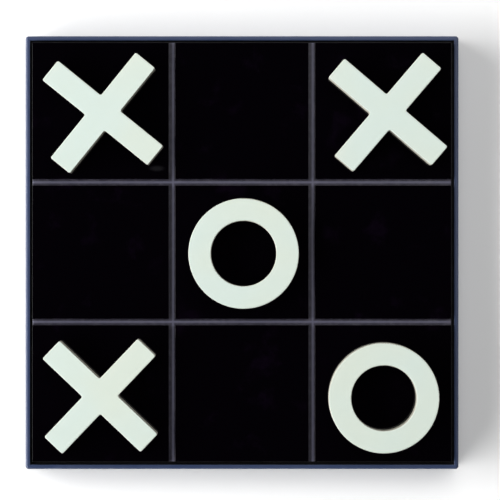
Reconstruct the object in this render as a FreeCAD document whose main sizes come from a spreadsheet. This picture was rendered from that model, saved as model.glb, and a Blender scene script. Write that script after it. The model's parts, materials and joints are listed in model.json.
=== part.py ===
import FreeCAD, Part
import math
import os
import Sketcher

# Tic tac toe set: a shallow square tray with a lift-out playing board of nine tiles on a core,
# ten loose tokens and a storage layer under the board.
# Frame: +X to the player's right, +Y away from the player, +Z up, millimetres.
# Origin: middle of the surface that the feet stand on.

# Driving dimensions: alias, value in mm, meaning.
DIMENSIONS = (
    ("outer_side", 240.0, "outside width and depth of the tray"),
    ("wall", 2.6, "wall thickness"),
    ("corner_round", 1.7, "radius of the tray's outer upright corners"),
    ("rim_round", 1.4, "radius along the rim's outer edge"),
    ("rim_ease", 0.4, "radius along the rim's inner edge"),
    ("foot_height", 1.5, "height of the rubber feet"),
    ("foot_diameter", 12.0, "diameter of the rubber feet"),
    ("foot_inset", 22.0, "foot centre to the tray's outside"),
    ("foot_round", 0.4, "radius round a foot's lower edge"),
    ("base_thickness", 3.5, "tray floor thickness"),
    ("finger_hole", 22.0, "hole in the floor for pushing the board up"),
    ("storage_depth", 11.0, "clear height under the board"),
    ("ledge_width", 3.0, "width of the strips that carry the board"),
    ("divider_thickness", 2.0, "thickness of the storage dividers"),
    ("lap_clearance", 0.1, "play in the dividers' half-lap slots"),
    ("rest_gap", 0.05, "air under a loose piece that rests on another"),
    ("core_thickness", 2.5, "thickness of the board's core"),
    ("core_bevel", 0.3, "bevel round the core's upper edge"),
    ("tile_thickness", 1.5, "thickness of the tiles on the core"),
    ("tile_round", 0.1, "radius round a tile's upper face"),
    ("board_rise", 2.0, "height of the tiles' faces above the rim"),
    ("board_gap", 1.5, "mean gap between the board and the walls"),
    ("board_shift_x", -0.1, "loose board's distance to the right of the middle"),
    ("board_shift_y", 0.3, "loose board's distance behind the middle"),
    ("grid_pitch", 77.3, "spacing of the grooves and of the dividers"),
    ("groove_width", 3.5, "width of the grooves between the tiles"),
    ("token_thickness", 10.0, "thickness of every token"),
    ("token_edge", 0.4, "radius round a token's faces"),
    ("ring_diameter", 60.7, "outside diameter of an O"),
    ("ring_bore", 36.0, "hole through an O"),
    ("cross_span", 74.5, "length of each bar of an X"),
    ("bar_width", 13.7, "width of each bar of an X"),
    ("bar_round", 1.1, "radius of an X's upright corners"),
)

# Tokens in play: name, kind, column and row of the cell, nudge from the cell's middle, turn.
# The nudges and turns are those of pieces put down by hand.
TOKENS_IN_PLAY = (
    ("x_back_left", "cross", -1, 1, 1.8, -1.7, 6.0),
    ("x_back_right", "cross", 1, 1, 2.2, -1.2, 4.5),
    ("x_front_left", "cross", -1, -1, 0.3, -1.1, 1.4),
    ("o_centre", "ring", 0, 0, 1.0, -0.8, 0.0),
    ("o_front_right", "ring", 1, -1, 0.0, -2.1, 0.0),
)

# Spare tokens in the storage pockets: name, kind, column and row of the pocket.
SPARE_TOKENS = (
    ("spare_x_1", "cross", -1, 1),
    ("spare_x_2", "cross", -1, -1),
    ("spare_o_1", "ring", 1, 1),
    ("spare_o_2", "ring", 1, -1),
    ("spare_o_3", "ring", 0, 1),
)

SIDES = (("back", 0.0), ("left", 90.0), ("front", 180.0), ("right", 270.0))
ROWS = (("back", 1), ("middle", 0), ("front", -1))
COLUMNS = (("left", -1), ("centre", 0), ("right", 1))
UP = FreeCAD.Vector(0, 0, 1)
TOUCH = 1e-4

# Heights above the ground and spans, as spreadsheet expressions.
BASE_TOP = "(dims.foot_height + dims.base_thickness)"
LEDGE_TOP = f"({BASE_TOP} + dims.storage_depth)"
CORE_UNDERSIDE = f"({LEDGE_TOP} + dims.rest_gap)"
CORE_TOP = f"({CORE_UNDERSIDE} + dims.core_thickness)"
BOARD_TOP = f"({CORE_TOP} + dims.tile_thickness)"
RIM = f"({BOARD_TOP} - dims.board_rise)"
INNER_SIDE = "(dims.outer_side - 2 * dims.wall)"
STORAGE_SIDE = f"({INNER_SIDE} - 2 * dims.ledge_width)"
BOARD_SIDE = f"({INNER_SIDE} - 2 * dims.board_gap)"
MIDDLE_TILE = "(dims.grid_pitch - dims.groove_width)"
OUTER_TILE = f"(({BOARD_SIDE} - dims.grid_pitch - dims.groove_width) / 2)"
CELL_CENTRE = f"(({BOARD_SIDE} + dims.grid_pitch + dims.groove_width) / 4)"
POCKET_CENTRE = f"(({STORAGE_SIDE} + dims.grid_pitch + dims.divider_thickness) / 4)"

doc = FreeCAD.newDocument("tic_tac_toe_set")
pieces = []


def make_sheet():
    """Write the driving dimensions into a spreadsheet, one alias for each."""
    sheet = doc.addObject("Spreadsheet::Sheet", "dims")
    for row, (alias, value, meaning) in enumerate(DIMENSIONS, 1):
        sheet.set(f"A{row}", meaning)
        sheet.set(f"B{row}", str(value))
        sheet.setAlias(f"B{row}", alias)
    doc.recompute()


def keep(piece, label):
    """Name a finished piece and put it on the list of pieces to write."""
    piece.Label = label
    pieces.append(piece)
    return piece


def place(piece, x=None, y=None, z=None, turn=0.0):
    """Turn a piece about +Z and move it by expressions."""
    piece.Placement = FreeCAD.Placement(FreeCAD.Vector(), FreeCAD.Rotation(UP, turn))
    for axis, expression in (("x", x), ("y", y), ("z", z)):
        if expression:
            piece.setExpression(f"Placement.Base.{axis}", expression)


def new_body(name):
    """Add an empty PartDesign body."""
    return doc.addObject("PartDesign::Body", name)


def new_sketch(body, name, plane):
    """Add a sketch on one of the body's own origin planes."""
    sketch = body.newObject("Sketcher::SketchObject", name)
    support = next(item for item in body.Origin.OriginFeatures if item.Role == plane)
    sketch.AttachmentSupport = [(support, "")]
    sketch.MapMode = "FlatFace"
    return sketch


def add_outline(sketch, corners):
    """Draw a closed outline whose corners are (x, y) pairs of expressions."""
    count = len(corners)
    first = sketch.GeometryCount
    angles = [2 * math.pi * number / count for number in range(count)]
    starts = [FreeCAD.Vector(math.cos(angle), math.sin(angle), 0) for angle in angles]
    for number in range(count):
        sketch.addGeometry(Part.LineSegment(starts[number], starts[(number + 1) % count]), False)
    for number in range(count):
        after = first + (number + 1) % count
        sketch.addConstraint(Sketcher.Constraint("Coincident", first + number, 2, after, 1))
    for number, corner in enumerate(corners):
        for direction, expression in zip(("DistanceX", "DistanceY"), corner):
            constraint = Sketcher.Constraint(direction, -1, 1, first + number, 1, 1.0)
            index = sketch.addConstraint(constraint)
            sketch.setExpression(f"Constraints[{index}]", expression)


def add_rectangle(sketch, width, depth):
    """Draw a rectangle about the sketch's origin."""
    right, left = f"{width} / 2", f"-{width} / 2"
    back, front = f"{depth} / 2", f"-{depth} / 2"
    add_outline(sketch, ((left, front), (right, front), (right, back), (left, back)))


def add_circle(sketch, diameter):
    """Draw a circle about the sketch's origin."""
    circle = Part.Circle(FreeCAD.Vector(), UP, 1.0 + sketch.GeometryCount)
    index = sketch.addGeometry(circle, False)
    sketch.addConstraint(Sketcher.Constraint("Coincident", index, 3, -1, 1))
    size = sketch.addConstraint(Sketcher.Constraint("Diameter", index, 2.0))
    sketch.setExpression(f"Constraints[{size}]", diameter)


def pad(body, sketch, length, symmetric=False):
    """Extrude a sketch into the body."""
    feature = body.newObject("PartDesign::Pad", f"{sketch.Name}_pad")
    feature.Profile = sketch
    feature.SideType = "Symmetric" if symmetric else "One side"
    feature.setExpression("Length", length)
    doc.recompute()
    return feature


def pocket_through(body, sketch):
    """Cut a sketch through the whole body."""
    feature = body.newObject("PartDesign::Pocket", f"{sketch.Name}_pocket")
    feature.Profile = sketch
    feature.SideType = "Symmetric"
    feature.Type = "ThroughAll"
    doc.recompute()
    return feature


def find_edges(feature, wanted):
    """List the names of a feature's edges that wanted() accepts."""
    edges = enumerate(feature.Shape.Edges, 1)
    names = [f"Edge{number}" for number, edge in edges if wanted(edge)]
    if not names:
        raise RuntimeError(f"{feature.Name}: no edge found to dress")
    return names


def dress(body, kind, feature, wanted, size):
    """Round or bevel the feature's wanted edges."""
    dressed = body.newObject(f"PartDesign::{kind}", f"{feature.Name}_{kind.lower()}")
    dressed.Base = (feature, find_edges(feature, wanted))
    dressed.setExpression("Radius" if kind == "Fillet" else "Size", size)
    doc.recompute()
    return dressed


def is_upright(edge):
    """True for a straight edge parallel to Z."""
    return abs(edge.BoundBox.ZLength - edge.Length) < TOUCH


def is_top(feature):
    """Make a test for edges that lie in the feature's highest plane."""
    top = feature.Shape.BoundBox.ZMax
    return lambda edge: edge.BoundBox.ZMin > top - TOUCH


def is_outer_top(feature):
    """Make a test for the outer edges of a square frame's upper face."""
    in_top = is_top(feature)
    reach = feature.Shape.BoundBox.XMax - doc.dims.wall / 2
    return lambda edge: in_top(edge) and farthest(edge) > reach


def is_inner_top(feature):
    """Make a test for the inner edges of a square frame's upper face."""
    in_top = is_top(feature)
    reach = feature.Shape.BoundBox.XMax - doc.dims.wall
    return lambda edge: in_top(edge) and farthest(edge) < reach + TOUCH


def farthest(edge):
    """Give an edge's largest distance from the middle along X or Y."""
    box = edge.BoundBox
    return max(abs(box.XMin), abs(box.XMax), abs(box.YMin), abs(box.YMax))


def is_face_edge(feature):
    """Make a test for edges that lie in the feature's highest or lowest plane."""
    box = feature.Shape.BoundBox
    return lambda edge: edge.BoundBox.ZMin > box.ZMax - TOUCH or edge.BoundBox.ZMax < box.ZMin + TOUCH


def common(name, base, tool):
    """Keep what two objects share."""
    result = doc.addObject("Part::Common", name)
    result.Base = base
    result.Tool = tool
    return result


def on_board(column, row, x_nudge=0.0, y_nudge=0.0):
    """Give x and y expressions for a place near the middle of a cell of the loose board."""
    x = f"dims.board_shift_x + {column} * {CELL_CENTRE} + {x_nudge}"
    y = f"dims.board_shift_y + {row} * {CELL_CENTRE} + {y_nudge}"
    return x, y


def make_mitre_wedge(name, turn, height):
    """Make a right-angled wedge from the tray's middle to one side, for mitred corners."""
    body = new_body(name)
    sketch = new_sketch(body, f"{name}_sketch", "XY_Plane")
    reach = "dims.outer_side"
    add_outline(sketch, (("0", "0"), (reach, reach), (f"-{reach}", reach)))
    pad(body, sketch, height)
    place(body, turn=turn)
    return body


def make_square_frame(name, outside, inside, height, corner_round=None):
    """Make a square frame standing on the XY plane; return its body and its last feature."""
    body = new_body(name)
    outer = new_sketch(body, f"{name}_outside", "XY_Plane")
    add_rectangle(outer, outside, outside)
    block = pad(body, outer, height)
    if corner_round:
        dress(body, "Fillet", block, is_upright, corner_round)
    opening = new_sketch(body, f"{name}_opening", "XY_Plane")
    add_rectangle(opening, inside, inside)
    return body, pocket_through(body, opening)


def split_at_mitres(frame, height, suffix):
    """Cut a square frame into four mitred strips, one for each side of the tray."""
    for side, turn in SIDES:
        wedge = make_mitre_wedge(f"{side}_{suffix}_mitre", turn, height)
        keep(common(f"{side}_{suffix}", frame, wedge), f"{side}_{suffix}")


def make_walls():
    """Make four mitred walls, rounded along the rim and up the corners."""
    height = f"({RIM} - dims.foot_height)"
    body, frame = make_square_frame(
        "wall_frame", "dims.outer_side", INNER_SIDE, height, "dims.corner_round"
    )
    rounded = dress(body, "Fillet", frame, is_outer_top(frame), "dims.rim_round")
    dress(body, "Fillet", rounded, is_inner_top(rounded), "dims.rim_ease")
    place(body, z="dims.foot_height")
    split_at_mitres(body, RIM, "wall")


def make_ledges():
    """Make the four strips inside the walls that carry the board."""
    body, _ = make_square_frame("ledge_frame", INNER_SIDE, STORAGE_SIDE, "dims.storage_depth")
    place(body, z=BASE_TOP)
    split_at_mitres(body, LEDGE_TOP, "ledge")


def make_base_panel():
    """Make the tray's floor, with a hole under its middle pocket for a finger."""
    body = new_body("base_panel")
    outline = new_sketch(body, "base_outline", "XY_Plane")
    add_rectangle(outline, INNER_SIDE, INNER_SIDE)
    pad(body, outline, "dims.base_thickness")
    hole = new_sketch(body, "base_finger_hole", "XY_Plane")
    add_circle(hole, "dims.finger_hole")
    pocket_through(body, hole)
    place(body, z="dims.foot_height")
    keep(body, "base_panel")


def make_feet():
    """Make four rubber discs under the floor as one group of solids."""
    feet = []
    offset = "(dims.outer_side / 2 - dims.foot_inset)"
    for number, (x_sign, y_sign) in enumerate(((-1, -1), (1, -1), (1, 1), (-1, 1)), 1):
        disc = doc.addObject("Part::Cylinder", f"foot_disc_{number}")
        disc.setExpression("Radius", "dims.foot_diameter / 2")
        disc.setExpression("Height", "dims.foot_height")
        place(disc, x=f"{x_sign} * {offset}", y=f"{y_sign} * {offset}")
        doc.recompute()
        foot = doc.addObject("Part::Fillet", f"foot_{number}")
        foot.Base = disc
        low = find_edges(disc, lambda edge: edge.BoundBox.ZMax < TOUCH)
        radius = doc.dims.foot_round
        foot.Edges = [(int(name[4:]), radius, radius) for name in low]
        feet.append(foot)
    group = doc.addObject("Part::Compound", "rubber_feet")
    group.Links = feet
    keep(group, "rubber_feet")


def make_divider(name, turn, slots_at_top, x=None, y=None):
    """Make a storage divider with two half-lap slots, open at the top or at the bottom."""
    body = new_body(name)
    sketch = new_sketch(body, f"{name}_elevation", "XZ_Plane")
    reach = f"{STORAGE_SIDE} / 2"
    near = "dims.grid_pitch / 2 - dims.divider_thickness / 2 - dims.lap_clearance"
    far = "dims.grid_pitch / 2 + dims.divider_thickness / 2 + dims.lap_clearance"
    middle = "dims.storage_depth / 2"
    plain, slotted = ("0", "dims.storage_depth") if slots_at_top else ("dims.storage_depth", "0")
    add_outline(sketch, (
        (f"-{reach}", plain),
        (reach, plain),
        (reach, slotted),
        (far, slotted),
        (far, middle),
        (near, middle),
        (near, slotted),
        (f"-({near})", slotted),
        (f"-({near})", middle),
        (f"-({far})", middle),
        (f"-({far})", slotted),
        (f"-{reach}", slotted),
    ))
    pad(body, sketch, "dims.divider_thickness", symmetric=True)
    place(body, x=x, y=y, z=BASE_TOP, turn=turn)
    keep(body, name)


def make_dividers():
    """Make two dividers across and two from front to back, lapped where they cross."""
    offset = "dims.grid_pitch / 2"
    make_divider("divider_row_back", 0.0, True, y=offset)
    make_divider("divider_row_front", 0.0, True, y=f"-{offset}")
    make_divider("divider_column_left", 90.0, False, x=f"-{offset}")
    make_divider("divider_column_right", 90.0, False, x=offset)


def make_core():
    """Make the loose board's core, which shows as the floor of the grooves between the tiles."""
    body = new_body("board_core")
    outline = new_sketch(body, "core_outline", "XY_Plane")
    add_rectangle(outline, BOARD_SIDE, BOARD_SIDE)
    block = pad(body, outline, "dims.core_thickness")
    dress(body, "Chamfer", block, is_top(block), "dims.core_bevel")
    place(body, x="dims.board_shift_x", y="dims.board_shift_y", z=CORE_UNDERSIDE)
    keep(body, "board_core")


def make_tiles():
    """Make the nine tiles, one for each cell, glued to the core."""
    for row_name, row in ROWS:
        for column_name, column in COLUMNS:
            name = f"tile_{row_name}_{column_name}"
            body = new_body(name)
            outline = new_sketch(body, f"{name}_outline", "XY_Plane")
            width = OUTER_TILE if column else MIDDLE_TILE
            depth = OUTER_TILE if row else MIDDLE_TILE
            add_rectangle(outline, width, depth)
            slab = pad(body, outline, "dims.tile_thickness")
            dress(body, "Fillet", slab, is_top(slab), "dims.tile_round")
            x, y = on_board(column, row)
            place(body, x=x, y=y, z=CORE_TOP)
            keep(body, name)


def make_ring(body):
    """Model an O: a flat ring."""
    sketch = new_sketch(body, f"{body.Name}_circles", "XY_Plane")
    add_circle(sketch, "dims.ring_diameter")
    add_circle(sketch, "dims.ring_bore")
    return pad(body, sketch, "dims.token_thickness")


def make_cross(body):
    """Model an X: two equal bars crossing at right angles, with rounded upright corners."""
    for name, width, depth in (
        ("bar_across", "dims.cross_span", "dims.bar_width"),
        ("bar_along", "dims.bar_width", "dims.cross_span"),
    ):
        sketch = new_sketch(body, f"{body.Name}_{name}", "XY_Plane")
        add_rectangle(sketch, width, depth)
        bars = pad(body, sketch, "dims.token_thickness")
    return dress(body, "Fillet", bars, is_upright, "dims.bar_round")


def make_token(name, kind, x, y, z, turn):
    """Make one token of a kind, rounded round both faces, standing at x, y, z."""
    body = new_body(name)
    blank = make_cross(body) if kind == "cross" else make_ring(body)
    dress(body, "Fillet", blank, is_face_edge(blank), "dims.token_edge")
    place(body, x=x, y=y, z=z, turn=turn + (45.0 if kind == "cross" else 0.0))
    keep(body, name)


def make_tokens():
    """Make the tokens in play and the spare ones in their pockets."""
    on_tile = f"{BOARD_TOP} + dims.rest_gap"
    for name, kind, column, row, x_nudge, y_nudge, turn in TOKENS_IN_PLAY:
        x, y = on_board(column, row, x_nudge, y_nudge)
        make_token(name, kind, x, y, on_tile, turn)
    in_pocket = f"{BASE_TOP} + dims.rest_gap"
    for name, kind, column, row in SPARE_TOKENS:
        x, y = f"{column} * {POCKET_CENTRE}", f"{row} * {POCKET_CENTRE}"
        make_token(name, kind, x, y, in_pocket, 0.0)


def check_model():
    """Stop if any object failed to compute or any piece's shape is empty or broken."""
    for item in doc.Objects:
        if "Invalid" in item.State or "Error" in item.State:
            raise RuntimeError(f"{item.Name} failed: {item.State}")
    for piece in pieces:
        if piece.Shape.isNull() or not piece.Shape.isValid() or not piece.Shape.Solids:
            raise RuntimeError(f"{piece.Label} has no sound shape")


def write_pieces():
    """Write one STEP file for each piece."""
    os.makedirs("parts", exist_ok=True)
    for piece in pieces:
        piece.Shape.exportStep(f"parts/{piece.Label}.step")
        size = piece.Shape.optimalBoundingBox()
        volume = piece.Shape.Volume
        print(f"{piece.Label:24s} {len(piece.Shape.Solids)} solid(s) {volume:10.1f} mm3"
              f"  z {size.ZMin:.2f} to {size.ZMax:.2f}")


make_sheet()
make_base_panel()
make_feet()
make_walls()
make_ledges()
make_dividers()
make_core()
make_tiles()
make_tokens()
doc.recompute()
check_model()
write_pieces()
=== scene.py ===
import json
import math

import bpy
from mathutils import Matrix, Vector


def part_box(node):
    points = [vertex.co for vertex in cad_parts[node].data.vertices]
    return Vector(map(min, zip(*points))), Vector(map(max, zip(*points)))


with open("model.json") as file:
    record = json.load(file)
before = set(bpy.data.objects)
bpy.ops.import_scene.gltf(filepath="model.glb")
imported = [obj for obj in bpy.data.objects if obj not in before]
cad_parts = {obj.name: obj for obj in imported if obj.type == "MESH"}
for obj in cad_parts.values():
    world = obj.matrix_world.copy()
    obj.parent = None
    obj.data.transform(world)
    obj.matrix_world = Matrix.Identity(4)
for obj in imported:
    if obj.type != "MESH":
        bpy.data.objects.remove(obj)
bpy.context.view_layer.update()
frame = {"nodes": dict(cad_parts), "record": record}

# Looks for the tic tac toe set: navy lacquered tray, gloss black tiles on a satin grey core,
# pale mint-white tokens, black-stained storage boards and rubber feet. Metres throughout.

MM = 0.001
RIM_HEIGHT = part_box("front_wall")[1].z
TRAY_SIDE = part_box("back_wall")[1].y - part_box("front_wall")[0].y
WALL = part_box("base_panel")[0].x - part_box("left_wall")[0].x
TILE_LOW, TILE_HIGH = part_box("tile_middle_centre")
TILE_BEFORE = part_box("tile_middle_left")[1]
BOARD_MIDDLE = (TILE_LOW + TILE_HIGH) / 2
GROOVE_WIDTH = TILE_LOW.x - TILE_BEFORE.x
GROOVE_REACH = (TILE_HIGH.x - TILE_LOW.x + GROOVE_WIDTH) / 2

# A fingertip smear on the back left tile: its middle and its half sizes.
SMEAR_PLACE = (-47.1 * MM, 46.6 * MM)
SMEAR_REACH = (5.5 * MM, 2.2 * MM)
# The painted light in the front-to-back grooves lies a little to the right of their middle, where the
# key from the left lights the groove's right side.
GROOVE_LIGHT_DRIFT = 0.5 * MM

NAVY_DEEP = (0.016, 0.029, 0.075)
NAVY_PALE = (0.021, 0.034, 0.080)
NAVY_RUBBED = (0.10, 0.125, 0.19)
WALL_INSIDE_SHADE = (0.003, 0.003, 0.005)
GLOSS_DEEP = (0.0006, 0.0003, 0.0009)
GLOSS_SMUDGED = (0.0018, 0.0007, 0.0026)
GLOSS_DUST = (0.30, 0.29, 0.31)
SMEAR_GREY = (0.30, 0.30, 0.32)
GROOVE_SIDE_SHADE = (0.010, 0.008, 0.019)
GROOVE_MIDDLE_LIT = (0.070, 0.068, 0.104)
GROOVE_PATCH = (0.110, 0.102, 0.130)
GROOVE_SPECK = (0.35, 0.34, 0.36)
MINT_COOL = (0.467, 0.539, 0.497)
MINT_WARM = (0.484, 0.535, 0.470)
MINT_FINE = (0.466, 0.527, 0.474)
TOKEN_SIDE_SHADE = (0.31, 0.30, 0.255)
FLOOR_BOARD_LIGHT = (0.016, 0.020, 0.036)
FLOOR_BOARD_DARK = (0.009, 0.012, 0.024)
STORAGE_LIGHT = (0.008, 0.008, 0.009)
STORAGE_DARK = (0.003, 0.003, 0.003)
RUBBER_DARK = (0.012, 0.012, 0.013)
RUBBER_LIGHT = (0.028, 0.028, 0.030)
PAPER_DARK = (0.79, 0.79, 0.79)
PAPER_LIGHT = (0.81, 0.81, 0.81)


# ---------------------------------------------------------------- node helpers

def add_node(tree, kind, inputs=None, **settings):
    """Add a shader node; inputs maps socket names or numbers to values or to other sockets."""
    node = tree.nodes.new(kind)
    for name, value in settings.items():
        setattr(node, name, value)
    for key, value in (inputs or {}).items():
        if isinstance(value, bpy.types.NodeSocket):
            tree.links.new(value, node.inputs[key])
        else:
            node.inputs[key].default_value = value
    return node


def start_material(name, roughness, ior=1.5):
    """Make a material with one Principled shader; return it, its tree and its shader."""
    material = bpy.data.materials.new(name)
    material.use_nodes = True
    tree = material.node_tree
    tree.nodes.clear()
    shader = add_node(tree, "ShaderNodeBsdfPrincipled", {"Roughness": roughness, "IOR": ior})
    add_node(tree, "ShaderNodeOutputMaterial", {"Surface": shader.outputs["BSDF"]})
    return material, tree, shader


def object_coordinates(tree, stretch=(1, 1, 1)):
    """Give the node's own coordinates, in metres, stretched along each axis."""
    coordinates = add_node(tree, "ShaderNodeTexCoord").outputs["Object"]
    if stretch == (1, 1, 1):
        return coordinates
    return add_node(tree, "ShaderNodeMapping", {"Vector": coordinates, "Scale": stretch}).outputs[0]


def noise(tree, size, detail=3.0, roughness=0.5, stretch=(1, 1, 1)):
    """Give a noise value whose blotches are about size metres across."""
    inputs = {
        "Vector": object_coordinates(tree, stretch),
        "Scale": 1 / size,
        "Detail": detail,
        "Roughness": roughness,
    }
    return add_node(tree, "ShaderNodeTexNoise", inputs).outputs["Fac"]


def remap(tree, value, low, high, to_low=0.0, to_high=1.0):
    """Carry a value from one range smoothly to another."""
    inputs = {"Value": value, 1: low, 2: high, 3: to_low, 4: to_high}
    node = add_node(tree, "ShaderNodeMapRange", inputs, interpolation_type="SMOOTHSTEP")
    return node.outputs[0]


def math_node(tree, operation, first, second=0.0):
    """Combine two values."""
    return add_node(tree, "ShaderNodeMath", {0: first, 1: second}, operation=operation).outputs[0]


def mix_colour(tree, factor, first, second):
    """Mix two colours; each is an (r, g, b) or a socket."""
    node = add_node(tree, "ShaderNodeMix", {"Factor": factor}, data_type="RGBA")
    for key, colour in ((6, first), (7, second)):
        if isinstance(colour, bpy.types.NodeSocket):
            tree.links.new(colour, node.inputs[key])
        else:
            node.inputs[key].default_value = (*colour, 1.0)
    return node.outputs[2]


def bump(tree, height, depth):
    """Turn a height value into a bump of a real depth in metres."""
    inputs = {"Height": height, "Distance": depth, "Strength": 1.0}
    return add_node(tree, "ShaderNodeBump", inputs).outputs["Normal"]


def specks(tree, spacing, share, size):
    """Give sparse round specks: 1 inside a speck and 0 elsewhere."""
    inputs = {"Vector": object_coordinates(tree), "Scale": 1 / spacing}
    cells = add_node(tree, "ShaderNodeTexVoronoi", inputs)
    near = remap(tree, cells.outputs["Distance"], size * 0.5, size, 1.0, 0.0)
    pick = add_node(tree, "ShaderNodeSeparateColor", {0: cells.outputs["Color"]}).outputs[0]
    chosen = math_node(tree, "LESS_THAN", pick, share)
    return math_node(tree, "MULTIPLY", near, chosen)


# ---------------------------------------------------------------- materials

def side_reach(tree, place):
    """Give the larger of the distances from the tray's middle along X and Y."""
    across = math_node(tree, "ABSOLUTE", place.outputs[0])
    along = math_node(tree, "ABSOLUTE", place.outputs[1])
    return math_node(tree, "MAXIMUM", across, along)


def navy_lacquer():
    """Satin navy lacquer, faintly rubbed along the rim, with the walls' inner faces painted near
    black as painted shade in the gap beside the board.
    """
    material, tree, shader = start_material("navy_lacquer", 0.42)
    tone = remap(tree, noise(tree, 40 * MM), 0.3, 0.7)
    colour = mix_colour(tree, tone, NAVY_DEEP, NAVY_PALE)
    place = add_node(tree, "ShaderNodeSeparateXYZ", {0: object_coordinates(tree)})
    reach = side_reach(tree, place)
    from_side = math_node(tree, "SUBTRACT", TRAY_SIDE / 2, reach)
    from_rim = math_node(tree, "SUBTRACT", RIM_HEIGHT, place.outputs[2])
    from_edge = math_node(tree, "ADD", math_node(tree, "ABSOLUTE", from_side), from_rim)
    near_edge = remap(tree, from_edge, 0.4 * MM, 1.2 * MM, 1.0, 0.0)
    worn = remap(tree, noise(tree, 5 * MM, 4.0, 0.6), 0.5, 0.7)
    rub = math_node(tree, "MULTIPLY", math_node(tree, "MULTIPLY", near_edge, worn), 0.35)
    colour = mix_colour(tree, rub, colour, NAVY_RUBBED)
    # Painted shade: the walls' inner faces are painted near black, with less shine, to stand for the
    # shade in the gap beside the board.
    inside = remap(tree, from_side, WALL - 0.2 * MM, WALL - 0.03 * MM)
    colour = mix_colour(tree, inside, colour, WALL_INSIDE_SHADE)
    shine = remap(tree, inside, 0.0, 1.0, 0.45, 0.1)
    tree.links.new(shine, shader.inputs["Specular IOR Level"])
    tree.links.new(colour, shader.inputs["Base Color"])
    rough = remap(tree, noise(tree, 9 * MM, 4.0), 0.3, 0.7, 0.36, 0.48)
    tree.links.new(rough, shader.inputs["Roughness"])
    peel = bump(tree, noise(tree, 1.2 * MM, 2.0), 0.012 * MM)
    tree.links.new(peel, shader.inputs["Normal"])
    return material


def ellipse(tree, centre, half_width, half_depth):
    """Give a soft ellipse seen from above: 1 at its middle and 0 outside."""
    inputs = {
        "Vector": object_coordinates(tree),
        "Location": (-centre[0] / half_width, -centre[1] / half_depth, 0),
        "Scale": (1 / half_width, 1 / half_depth, 0),
    }
    inside = add_node(tree, "ShaderNodeMapping", inputs).outputs[0]
    distance = add_node(tree, "ShaderNodeVectorMath", {0: inside}, operation="LENGTH")
    return remap(tree, distance.outputs["Value"], 0.2, 1.0, 1.0, 0.0)


def gloss_black():
    """Polished black tiles with faint smudges, a fingertip smear, scratches and dust."""
    material, tree, shader = start_material("gloss_black", 0.05, 1.4)
    dust = specks(tree, 3 * MM, 0.04, 0.05)
    smudge = remap(tree, noise(tree, 22 * MM, 4.0, 0.6), 0.56, 0.74)
    colour = mix_colour(tree, smudge, GLOSS_DEEP, GLOSS_SMUDGED)
    colour = mix_colour(tree, math_node(tree, "MULTIPLY", dust, 0.04), colour, GLOSS_DUST)
    smear = ellipse(tree, SMEAR_PLACE, *SMEAR_REACH)
    colour = mix_colour(tree, math_node(tree, "MULTIPLY", smear, 0.02), colour, SMEAR_GREY)
    tree.links.new(colour, shader.inputs["Base Color"])
    scratches = noise(tree, 0.6 * MM, 2.0, 0.5, (1.0, 0.03, 1.0))
    rough = math_node(tree, "ADD", math_node(tree, "MULTIPLY", smudge, 0.06), 0.04)
    hairline = math_node(tree, "MULTIPLY", remap(tree, scratches, 0.68, 0.74), 0.04)
    rough = math_node(tree, "ADD", rough, hairline)
    tree.links.new(rough, shader.inputs["Roughness"])
    ripple = bump(tree, noise(tree, 30 * MM, 1.0), 0.01 * MM)
    tree.links.new(ripple, shader.inputs["Normal"])
    return material


def satin_grey():
    """Satin charcoal paint with painted light and shade across each groove: lighter along the middle
    and darker towards the walls, plus random patches and dust specks.
    """
    material, tree, shader = start_material("satin_grey", 0.45)
    place = add_node(tree, "ShaderNodeSeparateXYZ", {0: object_coordinates(tree)})
    off_lines = []
    # The front-to-back grooves' painted light is shifted right, as painted light from the left-hand
    # key.
    for axis, light_drift in ((0, GROOVE_LIGHT_DRIFT), (1, 0.0)):
        middle = BOARD_MIDDLE[axis] + light_drift
        from_middle = math_node(tree, "SUBTRACT", place.outputs[axis], middle)
        off_line = math_node(tree, "SUBTRACT", math_node(tree, "ABSOLUTE", from_middle), GROOVE_REACH)
        off_lines.append(math_node(tree, "ABSOLUTE", off_line))
    off_line = math_node(tree, "MINIMUM", *off_lines)
    # Painted highlight along each groove's middle and painted shade towards its walls.
    lit_middle = remap(tree, off_line, 0.15 * MM, 1.0 * MM, 1.0, 0.0)
    colour = mix_colour(tree, lit_middle, GROOVE_SIDE_SHADE, GROOVE_MIDDLE_LIT)
    grain = noise(tree, 0.5 * MM, 3.0, 0.6)
    tone = remap(tree, noise(tree, 3 * MM, 4.0, 0.6), 0.4, 0.7)
    colour = mix_colour(tree, math_node(tree, "MULTIPLY", tone, 0.20), colour, GROOVE_PATCH)
    dust = specks(tree, 1.5 * MM, 0.15, 0.12)
    colour = mix_colour(tree, math_node(tree, "MULTIPLY", dust, 0.20), colour, GROOVE_SPECK)
    tree.links.new(colour, shader.inputs["Base Color"])
    rough = remap(tree, grain, 0.3, 0.7, 0.40, 0.52)
    tree.links.new(rough, shader.inputs["Roughness"])
    tree.links.new(bump(tree, grain, 0.01 * MM), shader.inputs["Normal"])
    return material


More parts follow.
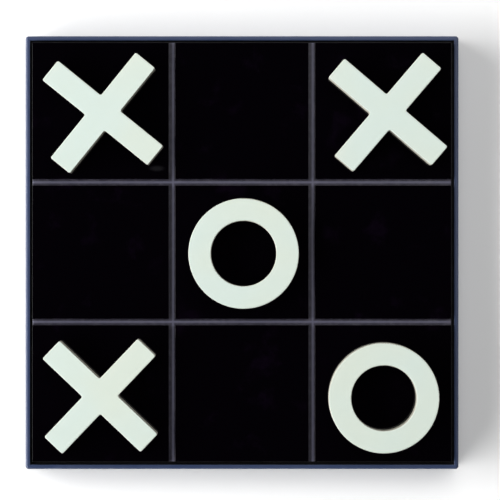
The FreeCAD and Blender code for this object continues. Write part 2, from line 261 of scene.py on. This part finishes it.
def token_white():
    """Pale mint-white lacquer, slightly mottled, with darker, creamier sides painted as shade on the
    upright faces and edge roundings.
    """
    material, tree, shader = start_material("token_white", 0.45)
    mottle = remap(tree, noise(tree, 45 * MM, 2.0, 0.4), 0.35, 0.65)
    face = mix_colour(tree, mottle, MINT_COOL, MINT_WARM)
    fine = remap(tree, noise(tree, 2.5 * MM, 3.0), 0.3, 0.7)
    face = mix_colour(tree, math_node(tree, "MULTIPLY", fine, 0.25), face, MINT_FINE)
    normal = add_node(tree, "ShaderNodeTexCoord").outputs["Normal"]
    upright = add_node(tree, "ShaderNodeSeparateXYZ", {0: normal}).outputs[2]
    # Painted shade: upright faces and edge roundings are painted darker and warmer than the top, to
    # offset how the light falls on them.
    side_shade = remap(tree, math_node(tree, "ABSOLUTE", upright), 0.6, 0.985, 1.0, 0.0)
    colour = mix_colour(tree, side_shade, face, TOKEN_SIDE_SHADE)
    tree.links.new(colour, shader.inputs["Base Color"])
    rough = remap(tree, noise(tree, 6 * MM, 3.0), 0.3, 0.7, 0.40, 0.52)
    tree.links.new(rough, shader.inputs["Roughness"])
    tree.links.new(bump(tree, noise(tree, 0.8 * MM, 3.0), 0.008 * MM), shader.inputs["Normal"])
    return material


def stained_board(name, light, dark, roughness):
    """Thin stained wooden board with a fine straight grain."""
    material, tree, shader = start_material(name, roughness, 1.2)
    grain = noise(tree, 1.5 * MM, 4.0, 0.6, (0.06, 1.0, 1.0))
    colour = mix_colour(tree, remap(tree, grain, 0.35, 0.65), dark, light)
    tree.links.new(colour, shader.inputs["Base Color"])
    rough = remap(tree, grain, 0.3, 0.7, roughness + 0.06, roughness - 0.06)
    tree.links.new(rough, shader.inputs["Roughness"])
    tree.links.new(bump(tree, grain, 0.03 * MM), shader.inputs["Normal"])
    return material


def foot_rubber():
    """Matt black rubber with a fine moulded texture."""
    material, tree, shader = start_material("foot_rubber", 0.8)
    texture = noise(tree, 0.4 * MM, 2.0)
    colour = mix_colour(tree, texture, RUBBER_DARK, RUBBER_LIGHT)
    tree.links.new(colour, shader.inputs["Base Color"])
    tree.links.new(bump(tree, texture, 0.02 * MM), shader.inputs["Normal"])
    return material


def dress_nodes():
    """Give every CAD node the material of its slot in the record."""
    makers = {
        "navy_lacquer": navy_lacquer(),
        "gloss_black": gloss_black(),
        "satin_grey": satin_grey(),
        "token_white": token_white(),
        "floor_board": stained_board("floor_board", FLOOR_BOARD_LIGHT, FLOOR_BOARD_DARK, 0.5),
        "storage_board": stained_board("storage_board", STORAGE_LIGHT, STORAGE_DARK, 0.6),
        "rubber": foot_rubber(),
    }
    for part in frame["record"]["subparts"]:
        mesh = frame["nodes"][part["node"]].data
        mesh.materials.clear()
        mesh.materials.append(makers[part["material_slot"]])


# ---------------------------------------------------------------- studio

CAMERA_HEIGHT = 1.35
VIEW_CENTRE = (4.4 * MM, 1.45 * MM)
VIEW_WIDTH = 0.2770
SENSOR = 36.0
FLOOR_HALF = 3.0
SKY_LOW = 0.57
SKY_HIGH = 0.004


def make_camera():
    """Look straight down on the tray."""
    data = bpy.data.cameras.new("camera")
    data.sensor_width = SENSOR
    data.lens = SENSOR * CAMERA_HEIGHT / VIEW_WIDTH
    camera = bpy.data.objects.new("camera", data)
    camera.location = (*VIEW_CENTRE, RIM_HEIGHT + CAMERA_HEIGHT)
    bpy.context.scene.collection.objects.link(camera)
    bpy.context.scene.camera = camera


def make_softbox(name, azimuth, elevation, distance, width, height, power):
    """Add a rectangular area light aimed at the tray; azimuth is from +X towards +Y."""
    data = bpy.data.lights.new(name, "AREA")
    data.shape = "RECTANGLE"
    data.size = width
    data.size_y = height
    data.energy = power
    light = bpy.data.objects.new(name, data)
    turn, lift = math.radians(azimuth), math.radians(elevation)
    away = Vector((math.cos(lift) * math.cos(turn), math.cos(lift) * math.sin(turn), math.sin(lift)))
    light.location = distance * away
    light.rotation_mode = "QUATERNION"
    light.rotation_quaternion = away.to_track_quat("Z", "Y")
    bpy.context.scene.collection.objects.link(light)


def make_world():
    """Light the sky softly near the horizon and leave it dark overhead."""
    world = bpy.data.worlds.new("studio")
    bpy.context.scene.world = world
    world.use_nodes = True
    tree = world.node_tree
    tree.nodes.clear()
    direction = add_node(tree, "ShaderNodeTexCoord").outputs["Generated"]
    height = add_node(tree, "ShaderNodeSeparateXYZ", {0: direction}).outputs[2]
    strength = remap(tree, height, 0.10, 0.75, SKY_LOW, SKY_HIGH)
    background = add_node(tree, "ShaderNodeBackground", {"Color": (1, 1, 1, 1), "Strength": strength})
    add_node(tree, "ShaderNodeOutputWorld", {"Surface": background.outputs[0]})


def make_floor():
    """Lay a large pale floor under the feet."""
    mesh = bpy.data.meshes.new("floor")
    signs = ((-1, -1), (1, -1), (1, 1), (-1, 1))
    corners = [(x * FLOOR_HALF, y * FLOOR_HALF, 0) for x, y in signs]
    mesh.from_pydata(corners, [], [(0, 1, 2, 3)])
    floor = bpy.data.objects.new("floor", mesh)
    bpy.context.scene.collection.objects.link(floor)
    material, tree, shader = start_material("floor_paper", 0.9)
    tone = noise(tree, 0.3, 2.0)
    colour = mix_colour(tree, tone, PAPER_DARK, PAPER_LIGHT)
    tree.links.new(colour, shader.inputs["Base Color"])
    mesh.materials.append(material)


def make_lights():
    """Long low softbox on the left, smaller high one behind on the right."""
    make_softbox(
        "key_left",
        azimuth=189.5,
        elevation=22.7,
        distance=1.9,
        width=3.88,
        height=1.22,
        power=148.0,
    )
    make_softbox(
        "back_top",
        azimuth=53.0,
        elevation=53.5,
        distance=1.3,
        width=1.85,
        height=1.0,
        power=13.3,
    )


dress_nodes()
make_world()
make_floor()
make_lights()
make_camera()
bpy.context.scene.view_settings.view_transform = "Standard"
